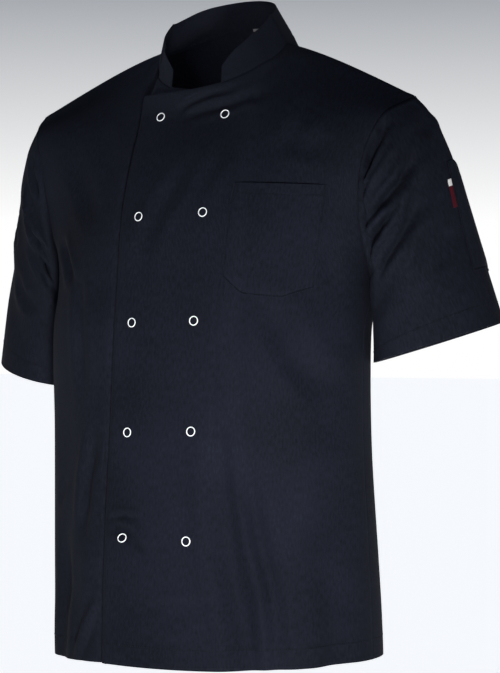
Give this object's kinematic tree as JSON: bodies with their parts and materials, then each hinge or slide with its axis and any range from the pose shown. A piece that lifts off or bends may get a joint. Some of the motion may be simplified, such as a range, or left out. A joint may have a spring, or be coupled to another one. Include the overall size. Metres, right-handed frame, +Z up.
{
  "type": "chef jacket",
  "caption": "Short-sleeved double-breasted chef jacket with a stand collar, ring snaps, a chest pocket and a sleeve pocket, in its worn form.",
  "frame": {"origin": "on the centre line of the neck opening, level with the high point of the shoulders, where a neck and shoulders carry the jacket", "axes": "+Z up along the centre line, -Y toward the front, +X toward the wearer's left"},
  "size_m": [0.6662, 0.295, 0.7756],
  "materials": {
    "twill": "black poly-cotton twill, matt with a soft sheen",
    "tab_tape": "woven dark red tape",
    "label_tape": "woven pale label tape",
    "snap_ring": "white enamelled press-stud ring"
  },
  "bodies": {
    "root": {"back": "twill", "front_left": "twill", "front_right": "twill", "sleeve_left": "twill", "sleeve_right": "twill", "collar": "twill", "chest_pocket": "twill", "sleeve_pocket": "twill", "sleeve_tab": "tab_tape", "neck_label": "label_tape", "snap_right_1": "snap_ring", "snap_left_1": "snap_ring", "snap_right_2": "snap_ring", "snap_left_2": "snap_ring", "snap_right_3": "snap_ring", "snap_left_3": "snap_ring", "snap_right_4": "snap_ring", "snap_left_4": "snap_ring", "snap_right_5": "snap_ring", "snap_left_5": "snap_ring"}
  },
  "joints": []
}
